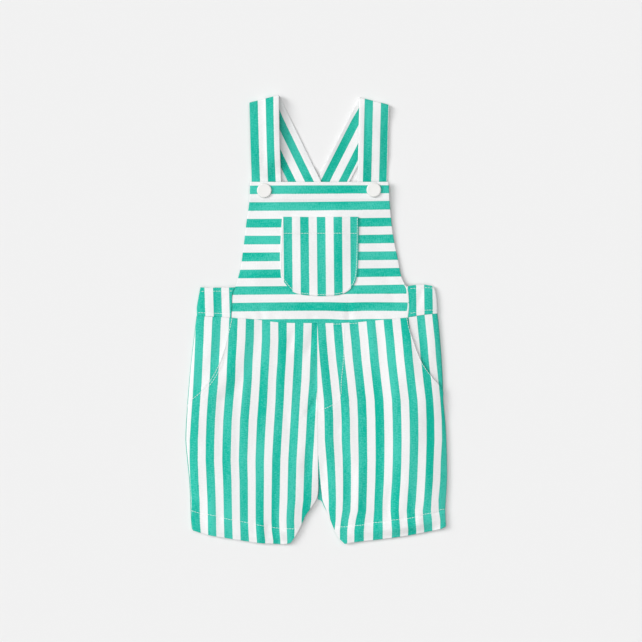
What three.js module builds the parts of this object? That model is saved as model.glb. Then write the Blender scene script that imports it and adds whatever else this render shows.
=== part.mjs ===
// Baby's short bib overalls in striped cotton twill, laid flat and seen from above.
// Millimetres. The table is z = 0, +Y runs up to the shoulders and +Z up off the table.
// Left and right are as they look from above.
import * as THREE from "three";

// Cloth, mm
const BACK_CLOTH = 1.3;
const FRONT_CLOTH = 1.4;
const WAIST_CLOTH = 1.8;
const STRAP_CLOTH = 1.6;
const POCKET_CLOTH = 1.2;
const HEM_EXTRA = 0.8;
const BACK_HEM_EXTRA = 0.3;
const LEG_HEM = 21;
const LEG_LENGTH = 232;
const BIB_HEM = 18;
const POCKET_HEM = 17;
const HEM_STEP = 3;
const SEAM_GAP = 0.3;
const LAYER_GAP = 0.4;
const BIB_SIDE_GAP = 0.7;

// How the panels lie: heights above the table, mm
const SIDE_SEAM_HEIGHT = 2.7;
const SIDE_ROUNDING = 34;
const INSEAM_ROUNDING = 20;
const BACK_RIM_LIFT = 0.7;
const BACK_RIM_WIDTH = 8;
const FRONT_INSET = 0.9;
const POCKET_LAP = 14;
const POCKET_FADE = 37;
const POCKET_FADE_BELOW = [9, 40];
const CROTCH_TOP = -128;
const CROTCH_END = -188;
const HIP_TOP_GAP = 0.6;
const HIP_LOW = { left: -92, right: -78 };
const HIP_BOTTOM_MIDDLE = { left: [-124, -89], right: [122, -74] };
const SIDE_START = { left: -88, right: -74 };

// Buttons, mm
const BUTTON_RADIUS = 7.65;
const BUTTON_THICKNESS = 2.6;
const BUTTON_RIM = 1.3;
const BUTTON_DISH = 0.3;
const BUTTON_RIM_STEPS = 4;
const BUTTON_SIDES = 28;

// Straps, mm
const STRAP_WIDTH = 31;
const FOLD_RADIUS = 1.9;
const STRAP_STEPS = { across: 4, front: 11, fold: 7, back: 24 };

// Columns and rows of each panel's grid
const GRIDS = {
  backLeg: [12, 18], backBand: [20, 4], hip: [8, 10], frontLeg: [14, 22],
  band: [6, 5], bib: [16, 20], pocket: [12, 14],
};

// Seams between left and right, mm
const CENTRE = 1.6;
const BACK_TOP = 0.5;
const BAND_TOP = 33.4;
const BACK_HEM_INSET = 0.8;

const GREEN = new THREE.Color(0.06, 0.55, 0.42);
const IVORY = new THREE.Color(0.86, 0.85, 0.82);

// Outlines. Each row is one point: x, y in mm.
const LEFT_SIDE = [
  [-121.9, 33.6], [-124.4, 20.2], [-125.9, 3.4], [-128.0, -11.3], [-132.8, -53.3], [-136.2, -95.3],
  [-137.7, -126.8], [-136.5, -142.5], [-133.9, -168.8], [-132.8, -189.8], [-132.0, -210.8], [-130.9, -221.8],
];
const LEFT_SLASH = [
  [-89.8, 1.3], [-92.1, -9.2], [-96.6, -27.0], [-101.9, -43.8], [-109.7, -59.6], [-117.1, -70.1],
  [-124.4, -78.0], [-134.6, -86.0],
];
const LEFT_HEM = [
  [-130.9, -221.8], [-113.9, -226.7], [-96.1, -229.7], [-79.3, -232.3], [-62.0, -234.9], [-45.7, -235.8],
  [-31.5, -236.0], [-27.2, -234.9],
];
const LEFT_INSEAM = [
  [1.4, -4.1], [1.4, -80.0], [1.4, -145.7], [1.0, -171.9], [1.0, -180.1], [-0.1, -188.3], [-6.2, -198.5],
  [-11.2, -205.5], [-18.4, -220.8], [-24.0, -230.3], [-27.2, -234.9],
];
const RIGHT_SIDE = [
  [122.6, 34.9], [124.6, 30.7], [126.2, 22.3], [127.1, 6.2], [128.1, -0.8], [131.6, -42.8], [133.9, -84.8],
  [136.0, -105.8], [137.3, -126.8], [137.9, -150.0], [137.9, -168.8], [136.8, -189.8], [136.2, -199.0],
  [136.9, -217.6],
];
const RIGHT_SLASH = [
  [95.9, 1.6], [98.0, -9.0], [101.3, -19.7], [110.1, -42.8], [117.7, -54.9], [123.1, -61.7], [132.0, -71.5],
];
const RIGHT_HEM = [
  [136.9, -217.6], [131.0, -220.3], [112.9, -224.1], [96.3, -227.3], [79.1, -229.8], [59.3, -232.1],
  [39.4, -234.4], [29.7, -236.0],
];
const RIGHT_INSEAM = [
  [1.8, -4.1], [1.8, -80.0], [1.9, -146.3], [2.3, -160.0], [3.6, -170.0], [5.3, -180.8], [6.5, -190.3],
  [12.9, -206.2], [18.6, -220.8], [23.7, -229.7], [29.7, -236.0],
];
const WAIST_SEAM_LEFT = [[-89.8, 1.3], [-65.0, -0.3], [-38.3, -3.5], [1.4, -4.1]];
const WAIST_SEAM_RIGHT = [[1.8, -4.1], [37.3, -3.5], [70.9, -0.6], [95.9, 1.6]];
const BIB_LEFT = [
  [-69.6, 144.3], [-70.6, 122.6], [-73.2, 104.7], [-77.5, 69.6], [-80.3, 51.7], [-85.3, 34.2],
  [-88.6, 17.1], [-89.4, 1.7],
];
const BIB_RIGHT = [
  [75.7, 144.3], [76.8, 123.1], [79.2, 97.9], [81.8, 81.1], [85.5, 63.3], [89.1, 45.4], [95.4, 34.4],
  [97.1, 13.9], [95.9, 2.0],
];
const BIB_TOP = [[-69.6, 144.3], [0, 144.1], [75.7, 144.3]];
const BIB_BOTTOM = [
  [-89.4, 1.7], [-65.0, 0.1], [-38.3, -3.1], [1.6, -3.7], [37.3, -3.1], [70.9, -0.2], [95.9, 2.0],
];
const POCKET_TOP = [[-36.2, 107.4], [4.0, 107.2], [44.0, 107.4]];
const POCKET_LEFT = [[-36.2, 107.4], [-37.7, 83.2], [-38.4, 64.3], [-37.3, 44.4]];
const POCKET_RIGHT = [[44.0, 107.4], [44.2, 89.5], [43.7, 63.3], [42.5, 46.9]];
const POCKET_BOTTOM = [
  [-37.3, 44.4], [-33.8, 38.7], [-25.8, 29.7], [-20.8, 27.1], [-7.9, 25.0], [10.0, 24.5], [27.2, 26.5],
  [35.2, 31.5], [40.6, 39.1], [42.5, 46.9],
];
const BAND_TOP_LEFT = [[-121.9, 33.6], [-105.0, 33.0], [-85.7, 33.6]];
const BAND_TOP_RIGHT = [[95.7, 34.4], [103.4, 36.0], [112.9, 36.4], [122.6, 34.9]];
const BAND_BOTTOM_LEFT = [[-125.9, 3.9], [-108.0, 2.9], [-89.8, 1.8]];
const BAND_BOTTOM_RIGHT = [[96.4, 2.2], [113.9, 5.0], [127.1, 6.2]];

// Heights of the lower face of the front, mm, by how far down the garment it is
const FRONT_HEIGHTS = [
  { y: 36, middle: 3.9 }, { y: 0, middle: 4.4 }, { y: -60, middle: 4.8 }, { y: -190, middle: 4.6 },
  { y: -212, middle: 4.2 }, { y: -236, middle: 3.8 },
];
const BIB_HEIGHTS = [
  { y: 145, edge: 4.0, middle: 4.1 }, { y: 121, edge: 3.5, middle: 4.2 }, { y: 105, edge: 2.6, middle: 4.3 },
  { y: 70, edge: 1.7, middle: 4.3 }, { y: 50, edge: 2.0, middle: 4.3 }, { y: 34, edge: 3.6, middle: 4.3 },
  { y: 15, edge: 4.0, middle: 4.4 }, { y: -4, edge: 4.4, middle: 4.5 },
];

// Straps. The fold point is the middle of the shoulder fold's outermost line. Angles are from straight up.
// Heights are of the cloth's middle, by the distance from the fold: before it in front, past it behind.
const STRAPS = [
  {
    name: "strap_left", x: -54.8, y: 231.6, side: 1,
    frontLean: 1.6, backLean: 25.9, frontLength: 112, backLength: 233,
    front: [{ d: 0, z: 4.6 }, { d: 48, z: 4.8 }, { d: 74, z: 3.0 }, { d: 78, z: 2.7 }, { d: 112, z: 2.1 }],
    back: [{ d: 0, z: 0.8 }, { d: 75, z: 0.8 }, { d: 89, z: 2.8 }, { d: 190, z: 2.8 }, { d: 206, z: 2.6 }],
  },
  {
    name: "strap_right", x: 60.6, y: 229.4, side: -1,
    frontLean: 1.3, backLean: 27.0, frontLength: 110, backLength: 233,
    front: [{ d: 0, z: 4.6 }, { d: 48, z: 4.6 }, { d: 71, z: 2.9 }, { d: 75, z: 2.7 }, { d: 112, z: 2.1 }],
    back: [{ d: 0, z: 0.8 }, { d: 190, z: 0.8 }, { d: 209, z: 2.6 }],
  },
];
const BUTTONS = [
  { name: "button_left", x: -54.8, y: 135.0 },
  { name: "button_right", x: 60.0, y: 135.6 },
];

const garment = new THREE.Group();
garment.name = "bib_overalls";
const cloth = new THREE.MeshStandardMaterial({ color: GREEN, roughness: 0.85, metalness: 0 });
const buttonFinish = new THREE.MeshStandardMaterial({ color: IVORY, roughness: 0.35, metalness: 0 });

// A smooth value read from rows, going by one named column to another.
function readHeight(rows, by, column, at) {
  const order = rows[0][by] < rows[rows.length - 1][by] ? rows : [...rows].reverse();
  const last = order.length - 1;
  if (at <= order[0][by]) return order[0][column];
  if (at >= order[last][by]) return order[last][column];
  const next = order.findIndex((row) => row[by] > at);
  const [low, high] = [order[next - 1], order[next]];
  return THREE.MathUtils.lerp(low[column], high[column], THREE.MathUtils.smoothstep(at, low[by], high[by]));
}

// A curve through an outline's points, read by the share of its length.
function curveThrough(points) {
  const curve = new THREE.CatmullRomCurve3(points.map(([x, y]) => new THREE.Vector3(x, y, 0)));
  curve.arcLengthDivisions = 400;
  return (share) => curve.getPointAt(share);
}

// The x of an outline at a height y, for outlines that only run down or up the garment.
function xAt(points, y) {
  const rows = points.map(([x, down]) => ({ x, down }));
  const order = rows[0].down < rows[rows.length - 1].down ? rows : [...rows].reverse();
  const last = order.length - 1;
  if (y <= order[0].down) return order[0].x;
  if (y >= order[last].down) return order[last].x;
  const next = order.findIndex((row) => row.down > y);
  const [low, high] = [order[next - 1], order[next]];
  return THREE.MathUtils.mapLinear(y, low.down, high.down, low.x, high.x);
}

// A patch between four edges: top and bottom run from left to right, the sides from top to bottom.
function patch({ top, bottom, left, right }) {
  const edges = { top: curveThrough(top), bottom: curveThrough(bottom) };
  edges.left = curveThrough(left);
  edges.right = curveThrough(right);
  const corners = [edges.top(0), edges.top(1), edges.bottom(0), edges.bottom(1)];
  return (across, down) => {
    const sides = edges.left(down).lerp(edges.right(down), across);
    const ends = edges.top(across).lerp(edges.bottom(across), down);
    const upper = corners[0].clone().lerp(corners[1], across);
    const lower = corners[2].clone().lerp(corners[3], across);
    return sides.add(ends).sub(upper.lerp(lower, down));
  };
}

// A rise from 0 at an edge to 1 at a given distance in, rounded as cloth is over a fold.
function rounding(distance, reach) {
  const left = 1 - THREE.MathUtils.clamp(distance / reach, 0, 1);
  return 1 - left * left;
}

// Height of the front's lower face: low at the side seams and inside legs, highest along each leg's middle.
function frontHeight(x, y) {
  const onLeft = x < CENTRE;
  const sideDistance = onLeft ? x - xAt(LEFT_SIDE, y) : xAt(RIGHT_SIDE, y) - x;
  const inseamDistance = onLeft ? xAt(LEFT_INSEAM, y) - x : x - xAt(RIGHT_INSEAM, y);
  const belowCrotch = THREE.MathUtils.smoothstep(-y, -CROTCH_TOP, -CROTCH_END);
  const inside = THREE.MathUtils.lerp(1, rounding(inseamDistance, INSEAM_ROUNDING), belowCrotch);
  const middle = readHeight(FRONT_HEIGHTS, "y", "middle", y);
  return SIDE_SEAM_HEIGHT + (middle - SIDE_SEAM_HEIGHT) * rounding(sideDistance, SIDE_ROUNDING) * inside;
}

// How much the front leg is raised where it laps over the hip panel behind the slash pocket.
function pocketStep(x, y) {
  const slash = x < CENTRE ? LEFT_SLASH : RIGHT_SLASH;
  const past = x < CENTRE ? x - xAt(slash, y) : xAt(slash, y) - x;
  const below = Math.min(...slash.map((point) => point[1])) - y;
  const inward = 1 - THREE.MathUtils.smoothstep(past, POCKET_LAP + 2, POCKET_FADE);
  return (FRONT_CLOTH + LAYER_GAP) * inward * (1 - THREE.MathUtils.smoothstep(below, ...POCKET_FADE_BELOW));
}

// Height of the bib's lower face, crowned across between its edges.
function bibHeight(x, y) {
  const middle = (xAt(BIB_LEFT, y) + xAt(BIB_RIGHT, y)) / 2;
  const half = (xAt(BIB_RIGHT, y) - xAt(BIB_LEFT, y)) / 2;
  const out = THREE.MathUtils.clamp((x - middle) / half, -1, 1);
  const edge = readHeight(BIB_HEIGHTS, "y", "edge", y);
  return edge + (readHeight(BIB_HEIGHTS, "y", "middle", y) - edge) * (1 - out * out);
}

// Extra thickness of a turned-up hem, reached over a short step above the hem's inner edge.
function hemAbove(y, top, depth) {
  return HEM_EXTRA * THREE.MathUtils.smoothstep(y, top - depth - HEM_STEP, top - depth);
}

function hemBelow(down, extra) {
  const start = 1 - LEG_HEM / LEG_LENGTH;
  return extra * THREE.MathUtils.smoothstep(down, start, start + HEM_STEP / LEG_LENGTH);
}

function bibCloth(y) {
  return FRONT_CLOTH + hemAbove(y, BIB_TOP[0][1], BIB_HEM);
}

// One closed sheet of cloth: a grid of points on each face, joined by a wall all round.
// shape(across, down) gives the point on the lower face and the one on the upper face.
function sheet(name, columns, rows, shape, finish = cloth) {
  const across = columns + 1;
  const faceSize = across * (rows + 1);
  const positions = new Float32Array(faceSize * 6);
  for (let row = 0; row <= rows; row++) {
    for (let column = 0; column <= columns; column++) {
      const at = row * across + column;
      const { lower, upper } = shape(column / columns, row / rows);
      positions.set(lower.toArray(), at * 3);
      positions.set(upper.toArray(), (faceSize + at) * 3);
    }
  }
  const index = [];
  const quad = (a, b, c, d) => index.push(a, b, c, a, c, d);
  for (let row = 0; row < rows; row++) {
    for (let column = 0; column < columns; column++) {
      const at = row * across + column;
      quad(at, at + 1, at + across + 1, at + across);
      const up = at + faceSize;
      quad(up, up + across, up + across + 1, up + 1);
    }
  }
  const rim = [];
  for (let column = 0; column < columns; column++) rim.push(column);
  for (let row = 0; row < rows; row++) rim.push(row * across + columns);
  for (let column = columns; column > 0; column--) rim.push(rows * across + column);
  for (let row = rows; row > 0; row--) rim.push(row * across);
  rim.forEach((from, place) => {
    const to = rim[(place + 1) % rim.length];
    quad(from, from + faceSize, to + faceSize, to);
  });
  const geometry = new THREE.BufferGeometry();
  geometry.setAttribute("position", new THREE.BufferAttribute(positions, 3));
  geometry.setIndex(index);
  geometry.computeVertexNormals();
  const mesh = new THREE.Mesh(geometry, finish);
  mesh.name = name;
  garment.add(mesh);
  return mesh;
}

// A panel of given outline, lying at a height, with its cloth above that.
function panel(name, [columns, rows], outline, height, thickness) {
  const place = patch(outline);
  sheet(name, columns, rows, (across, down) => {
    const { x, y } = place(across, down);
    const z = height(x, y, down);
    return { lower: new THREE.Vector3(x, y, z), upper: new THREE.Vector3(x, y, z + thickness(x, y, down)) };
  });
}

// The outline moved sideways, to keep a seam's gap or to set one panel in from another.
function shifted(points, by, lift = 0) {
  return points.map(([x, y]) => [x + by, y + lift]);
}

// The part of an outline between two heights, with its ends worked out.
function between(points, high, low) {
  const inner = points.filter(([, y]) => y < high - 1 && y > low + 1);
  return [[xAt(points, high), high], ...inner, [xAt(points, low), low]];
}

// Back panels: flat on the table, turned up a little along the side seams.
function backHeight(x, y) {
  const distance = Math.min(x - xAt(LEFT_SIDE, y), xAt(RIGHT_SIDE, y) - x);
  const rise = 1 - THREE.MathUtils.clamp(distance / BACK_RIM_WIDTH, 0, 1);
  return BACK_RIM_LIFT * rise * rise;
}

const HALF_SEAM = SEAM_GAP / 2;
const backInseamLeft = [
  [CENTRE - HALF_SEAM, BACK_TOP], [CENTRE - HALF_SEAM, -95], [CENTRE - HALF_SEAM, -170],
  [CENTRE - 2 * HALF_SEAM, -182], ...LEFT_INSEAM.slice(5, -1),
  ...shifted(LEFT_HEM.slice(-1), 0, BACK_HEM_INSET),
];
const backInseamRight = [
  [CENTRE + HALF_SEAM, BACK_TOP], [CENTRE + HALF_SEAM, -95], [CENTRE + HALF_SEAM, -170],
  [CENTRE + 2 * HALF_SEAM, -184], [5.3, -192.9], [9.8, -199.8], ...RIGHT_INSEAM.slice(7, -1),
  ...shifted(RIGHT_HEM.slice(-1), 0, BACK_HEM_INSET),
];
const backCloth = (x, y, down) => BACK_CLOTH + hemBelow(down, BACK_HEM_EXTRA);
panel("back_leg_left", GRIDS.backLeg, {
  top: [[xAt(LEFT_SIDE, BACK_TOP), BACK_TOP], [-60, BACK_TOP], [CENTRE - HALF_SEAM, BACK_TOP]],
  bottom: shifted(LEFT_HEM, 0, BACK_HEM_INSET),
  left: between(LEFT_SIDE, BACK_TOP, LEFT_HEM[0][1] + BACK_HEM_INSET),
  right: backInseamLeft,
}, backHeight, backCloth);
panel("back_leg_right", GRIDS.backLeg, {
  top: [[CENTRE + HALF_SEAM, BACK_TOP], [60, BACK_TOP], [xAt(RIGHT_SIDE, BACK_TOP), BACK_TOP]],
  bottom: shifted([...RIGHT_HEM].reverse(), 0, BACK_HEM_INSET),
  left: backInseamRight,
  right: between(RIGHT_SIDE, BACK_TOP, RIGHT_HEM[0][1] + BACK_HEM_INSET),
}, backHeight, backCloth);

// Back waistband, with the seam's gap above the back panels
const bandBottom = BACK_TOP + SEAM_GAP;
const level = (y) => [[xAt(LEFT_SIDE, y), y], [CENTRE, y], [xAt(RIGHT_SIDE, y), y]];
panel("back_waistband", GRIDS.backBand, {
  top: level(BAND_TOP),
  bottom: level(bandBottom),
  left: between(LEFT_SIDE, BAND_TOP, bandBottom),
  right: between(RIGHT_SIDE, BAND_TOP, bandBottom),
}, backHeight, () => BACK_CLOTH);

// Hip panels: between the side seam and the slash pocket, and on under the pocket's edge
const hipLapLeft = shifted(LEFT_SLASH, POCKET_LAP).slice(0, -1);
const hipLapRight = shifted(RIGHT_SLASH, -POCKET_LAP).slice(0, -1);
const hipBottomLeft = [
  [xAt(LEFT_SIDE, HIP_LOW.left) + FRONT_INSET, HIP_LOW.left], HIP_BOTTOM_MIDDLE.left, hipLapLeft.at(-1),
];
const hipBottomRight = [
  hipLapRight.at(-1), HIP_BOTTOM_MIDDLE.right, [xAt(RIGHT_SIDE, HIP_LOW.right) - FRONT_INSET, HIP_LOW.right],
];
const hipTopLeft = [...shifted(BAND_BOTTOM_LEFT, 0, -HIP_TOP_GAP), [hipLapLeft[0][0], 0.4]];
hipTopLeft[0][0] += FRONT_INSET;
const hipTopRight = [[hipLapRight[0][0], 0.3], ...shifted(BAND_BOTTOM_RIGHT, 0, -HIP_TOP_GAP)];
hipTopRight[3][0] -= FRONT_INSET;
const frontCloth = () => FRONT_CLOTH;
panel("hip_panel_left", GRIDS.hip, {
  top: hipTopLeft,
  bottom: hipBottomLeft,
  left: shifted(between(LEFT_SIDE, hipTopLeft[0][1], HIP_LOW.left), FRONT_INSET),
  right: [hipTopLeft[3], ...hipLapLeft.slice(1)],
}, frontHeight, frontCloth);
panel("hip_panel_right", GRIDS.hip, {
  top: hipTopRight,
  bottom: hipBottomRight,
  left: [hipTopRight[0], ...hipLapRight.slice(1)],
  right: shifted(between(RIGHT_SIDE, hipTopRight[3][1], HIP_LOW.right), -FRONT_INSET),
}, frontHeight, frontCloth);

// Front legs: from the waist seam and the slash pocket down to the hem
const legHeight = (x, y) => frontHeight(x, y) + pocketStep(x, y);
const legSideLeft = [...LEFT_SLASH.slice(0, -1), ...between(LEFT_SIDE, SIDE_START.left, LEFT_HEM[0][1])];
const legSideRight = [...RIGHT_SLASH.slice(0, -1), ...between(RIGHT_SIDE, SIDE_START.right, RIGHT_HEM[0][1])];
const legCloth = (x, y, down) => FRONT_CLOTH + hemBelow(down, HEM_EXTRA);
panel("front_leg_left", GRIDS.frontLeg, {
  top: shifted(WAIST_SEAM_LEFT, 0, -SEAM_GAP),
  bottom: LEFT_HEM,
  left: shifted(legSideLeft, FRONT_INSET),
  right: LEFT_INSEAM,
}, legHeight, legCloth);
panel("front_leg_right", GRIDS.frontLeg, {
  top: shifted(WAIST_SEAM_RIGHT, 0, -SEAM_GAP),
  bottom: [...RIGHT_HEM].reverse(),
  left: RIGHT_INSEAM,
  right: shifted(legSideRight, -FRONT_INSET),
}, legHeight, legCloth);

// Front waistband pieces, one each side of the bib
const bandCloth = () => WAIST_CLOTH;
panel("waistband_left", GRIDS.band, {
  top: BAND_TOP_LEFT,
  bottom: BAND_BOTTOM_LEFT,
  left: between(LEFT_SIDE, BAND_TOP_LEFT[0][1], BAND_BOTTOM_LEFT[0][1]),
  right: shifted(between(BIB_LEFT, BAND_TOP_LEFT.at(-1)[1], BAND_BOTTOM_LEFT.at(-1)[1]), -BIB_SIDE_GAP),
}, frontHeight, bandCloth);
panel("waistband_right", GRIDS.band, {
  top: BAND_TOP_RIGHT,
  bottom: BAND_BOTTOM_RIGHT,
  left: shifted(between(BIB_RIGHT, BAND_TOP_RIGHT[0][1], BAND_BOTTOM_RIGHT[0][1]), BIB_SIDE_GAP),
  right: between(RIGHT_SIDE, BAND_TOP_RIGHT.at(-1)[1], BAND_BOTTOM_RIGHT.at(-1)[1]),
}, frontHeight, bandCloth);

// Bib, and the patch pocket made from its upper face moved out
panel("bib", GRIDS.bib, {
  top: BIB_TOP, bottom: BIB_BOTTOM, left: BIB_LEFT, right: BIB_RIGHT,
}, bibHeight, (x, y) => bibCloth(y));
const onBib = (x, y) => bibHeight(x, y) + bibCloth(y) + SEAM_GAP;
const pocketCloth = (x, y) => POCKET_CLOTH + hemAbove(y, POCKET_TOP[0][1], POCKET_HEM);
panel("bib_pocket", GRIDS.pocket, {
  top: POCKET_TOP, bottom: POCKET_BOTTOM, left: POCKET_LEFT, right: POCKET_RIGHT,
}, onBib, pocketCloth);

// Straps: a flat band folded over a round shoulder fold, whose line halves the angle between front and back.
function strap({ name, x, y, frontLean, backLean, frontLength, backLength, side, front, back }) {
  const toRadians = THREE.MathUtils.degToRad;
  const half = toRadians((backLean - frontLean) / 2);
  const foldLean = toRadians((backLean + frontLean) / 2) * side;
  const along = new THREE.Vector2(Math.cos(foldLean), Math.sin(foldLean));
  const outward = new THREE.Vector2(-Math.sin(foldLean), Math.cos(foldLean));
  const skew = -half * side;
  const start = new THREE.Vector2(x, y).addScaledVector(outward, -(FOLD_RADIUS + STRAP_CLOTH / 2));
  const quarter = (Math.PI / 2) * FOLD_RADIUS;
  const steps = (from, to, count) =>
    Array.from({ length: count }, (_, at) => from + ((to - from) * at) / count);
  const stations = [
    ...steps(-frontLength, -quarter, STRAP_STEPS.front), ...steps(-quarter, quarter, STRAP_STEPS.fold),
    ...steps(quarter, backLength, STRAP_STEPS.back), backLength,
  ];
  const middleOfFold = (front[0].z + back[0].z) / 2;
  const section = (q) => {
    if (q < -quarter) {
      const z = readHeight(front, "d", "z", -q - quarter);
      return { reach: q + quarter, z, tilt: 0 };
    }
    if (q > quarter) {
      const z = readHeight(back, "d", "z", q - quarter);
      return { reach: quarter - q, z, tilt: Math.PI };
    }
    const turn = q / FOLD_RADIUS + Math.PI / 2;
    return {
      reach: FOLD_RADIUS * Math.sin(turn), z: middleOfFold + FOLD_RADIUS * Math.cos(turn), tilt: turn,
    };
  };
  sheet(name, STRAP_STEPS.across, stations.length - 1, (across, down) => {
    const q = stations[Math.round(down * (stations.length - 1))];
    const t = (0.5 - across) * STRAP_WIDTH;
    const s = (q - t * Math.sin(skew)) / Math.cos(skew);
    const alpha = t * Math.cos(skew) - s * Math.sin(skew);
    const { reach, z, tilt } = section(q);
    const point = (out) => {
      const flat = start.clone().addScaledVector(along, alpha);
      flat.addScaledVector(outward, reach + out * Math.sin(tilt));
      return new THREE.Vector3(flat.x, flat.y, z + out * Math.cos(tilt));
    };
    return { lower: point(-STRAP_CLOTH / 2), upper: point(STRAP_CLOTH / 2) };
  });
}
STRAPS.forEach(strap);

// Buttons: a flat disc with a rounded rim, lying on the bib's upper face
function button({ name, x, y }) {
  const profile = [[0, 0], [BUTTON_RADIUS - BUTTON_RIM, 0]];
  for (let step = 1; step < BUTTON_RIM_STEPS; step++) {
    const turn = (step / BUTTON_RIM_STEPS) * Math.PI - Math.PI / 2;
    profile.push([
      BUTTON_RADIUS - BUTTON_RIM + BUTTON_RIM * Math.cos(turn),
      BUTTON_THICKNESS / 2 + (BUTTON_THICKNESS / 2) * Math.sin(turn),
    ]);
  }
  profile.push([BUTTON_RADIUS - BUTTON_RIM, BUTTON_THICKNESS], [0, BUTTON_THICKNESS - BUTTON_DISH]);
  const geometry = new THREE.LatheGeometry(profile.map(([r, z]) => new THREE.Vector2(r, z)), BUTTON_SIDES);
  geometry.rotateX(Math.PI / 2);
  const mesh = new THREE.Mesh(geometry, buttonFinish);
  mesh.name = name;
  const reach = [-BUTTON_RADIUS, 0, BUTTON_RADIUS];
  const under = reach.flatMap((dx) => reach.map((dy) => onBib(x + dx, y + dy)));
  mesh.position.set(x, y, Math.max(...under));
  garment.add(mesh);
}
BUTTONS.forEach(button);

// The origin is on the table, under the middle of the garment.
const extent = new THREE.Box3().setFromObject(garment);
garment.position.set(-(extent.min.x + extent.max.x) / 2, -(extent.min.y + extent.max.y) / 2, -extent.min.z);

export default garment;
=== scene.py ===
import math

import bpy
import numpy as np
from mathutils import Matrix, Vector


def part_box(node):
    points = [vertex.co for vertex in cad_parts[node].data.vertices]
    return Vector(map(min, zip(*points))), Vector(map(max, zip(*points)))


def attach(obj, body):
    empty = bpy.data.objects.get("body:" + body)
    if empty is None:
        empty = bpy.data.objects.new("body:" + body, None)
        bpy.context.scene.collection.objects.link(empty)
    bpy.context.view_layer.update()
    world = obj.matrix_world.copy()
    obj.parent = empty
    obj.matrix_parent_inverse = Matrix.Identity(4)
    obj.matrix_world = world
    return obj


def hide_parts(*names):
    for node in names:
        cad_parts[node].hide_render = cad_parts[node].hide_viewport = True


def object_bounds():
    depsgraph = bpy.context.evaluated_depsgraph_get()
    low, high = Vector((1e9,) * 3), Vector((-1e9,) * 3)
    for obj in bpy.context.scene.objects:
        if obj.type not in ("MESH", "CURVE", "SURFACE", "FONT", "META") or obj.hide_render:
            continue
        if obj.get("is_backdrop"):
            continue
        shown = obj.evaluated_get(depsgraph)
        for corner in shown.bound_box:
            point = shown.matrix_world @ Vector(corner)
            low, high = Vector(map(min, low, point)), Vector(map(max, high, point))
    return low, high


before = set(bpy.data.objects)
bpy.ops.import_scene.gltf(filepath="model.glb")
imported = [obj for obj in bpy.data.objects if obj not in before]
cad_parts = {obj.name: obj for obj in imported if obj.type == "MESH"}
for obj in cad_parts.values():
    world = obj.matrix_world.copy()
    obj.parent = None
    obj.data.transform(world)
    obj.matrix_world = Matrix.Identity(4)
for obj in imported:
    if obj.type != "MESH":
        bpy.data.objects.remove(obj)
cad_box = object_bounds()

# Where the garment lies
# Every table below is in millimetres on the table top, x to the right and y up to the shoulders, as the garment
# was measured. The left button's centre was measured too, so its place in the frame gives the shift between them.
MM = 0.001
BUTTON_LEFT = np.array([-54.8, 135.0])
button_low, button_high = (np.array(corner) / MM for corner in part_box("button_left"))
SHIFT = ((button_low + button_high) / 2)[:2] - BUTTON_LEFT

# Camera
# Straight above the garment, with the shoulders up, far enough off that the sides don't lean.
VIEW_CENTRE = np.array([4.7, -1.8]) + SHIFT
VIEW_WIDTH = 674.1
CLOTH_HEIGHT = 4.0
camera_data = bpy.data.cameras.new("camera")
camera_data.lens = 85
camera_data.sensor_width = 36
camera_data.clip_end = 50
camera = bpy.data.objects.new("camera", camera_data)
camera_height = VIEW_WIDTH * camera_data.lens / camera_data.sensor_width + CLOTH_HEIGHT
camera.location = (VIEW_CENTRE[0] * MM, VIEW_CENTRE[1] * MM, camera_height * MM)
bpy.context.scene.collection.objects.link(camera)
bpy.context.scene.camera = camera

# Table top and light
# A plain pale top. One broad lamp stands low on the left, a little to the shoulder end, so the shade lies to the
# right of each edge. A broader one hangs almost overhead, and a little even light comes from all round.
TOP_SIZE = 8.0
TOP_COLOUR = (0.788, 0.788, 0.788, 1)
ROOM_LIGHT = 0.17
# Each lamp: strength, spread, elevation and azimuth in degrees
LAMPS = {"side_lamp": (1.90, 26, 33, 162), "overhead_lamp": (1.98, 80, 80, 165)}
bpy.context.scene.view_settings.view_transform = "Standard"
bpy.ops.mesh.primitive_plane_add(size=TOP_SIZE, location=(0, 0, 0))
table_top = bpy.context.object
table_top.name = "table_top"
top_paint = bpy.data.materials.new("table_top")
top_paint.use_nodes = True
top_shader = top_paint.node_tree.nodes["Principled BSDF"]
top_shader.inputs["Base Color"].default_value = TOP_COLOUR
top_shader.inputs["Roughness"].default_value = 0.9
top_shader.inputs["Specular IOR Level"].default_value = 0.1
table_top.data.materials.append(top_paint)
table_top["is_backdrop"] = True
world = bpy.data.worlds.new("room")
world.use_nodes = True
room_glow = world.node_tree.nodes["Background"].inputs
room_glow["Color"].default_value = (1, 1, 1, 1)
room_glow["Strength"].default_value = ROOM_LIGHT
bpy.context.scene.world = world
for lamp_name, (strength, spread, elevation, azimuth) in LAMPS.items():
    lamp_data = bpy.data.lights.new(lamp_name, "SUN")
    lamp_data.energy = strength
    lamp_data.angle = math.radians(spread)
    lamp = bpy.data.objects.new(lamp_name, lamp_data)
    lamp.rotation_euler = (0, math.radians(90 - elevation), math.radians(azimuth))
    bpy.context.scene.collection.objects.link(lamp)

# Front legs
# The two front panels of the shorts, in one layer of yarn-dyed cotton twill with the stripes running down. Each is
# cut from the waist seam to the hem, scooped out at the side for the slash pocket, and its hem is turned up.
CENTRE = 1.6
# The x of the centre seam, by y
SEAM_LINE = [(-186, 2.9), (-170, 2.3), (-160, 1.75), (-146, 1.6), (-100, 1.2), (-60, 0.9), (-4, 0.78)]
SEAM_GAP = 0.3
SEAM_SHIFT = 0.1
CLOTH = 1.0
HEM_CLOTH = 1.9
EDGE_ROLL = 0.7
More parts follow.
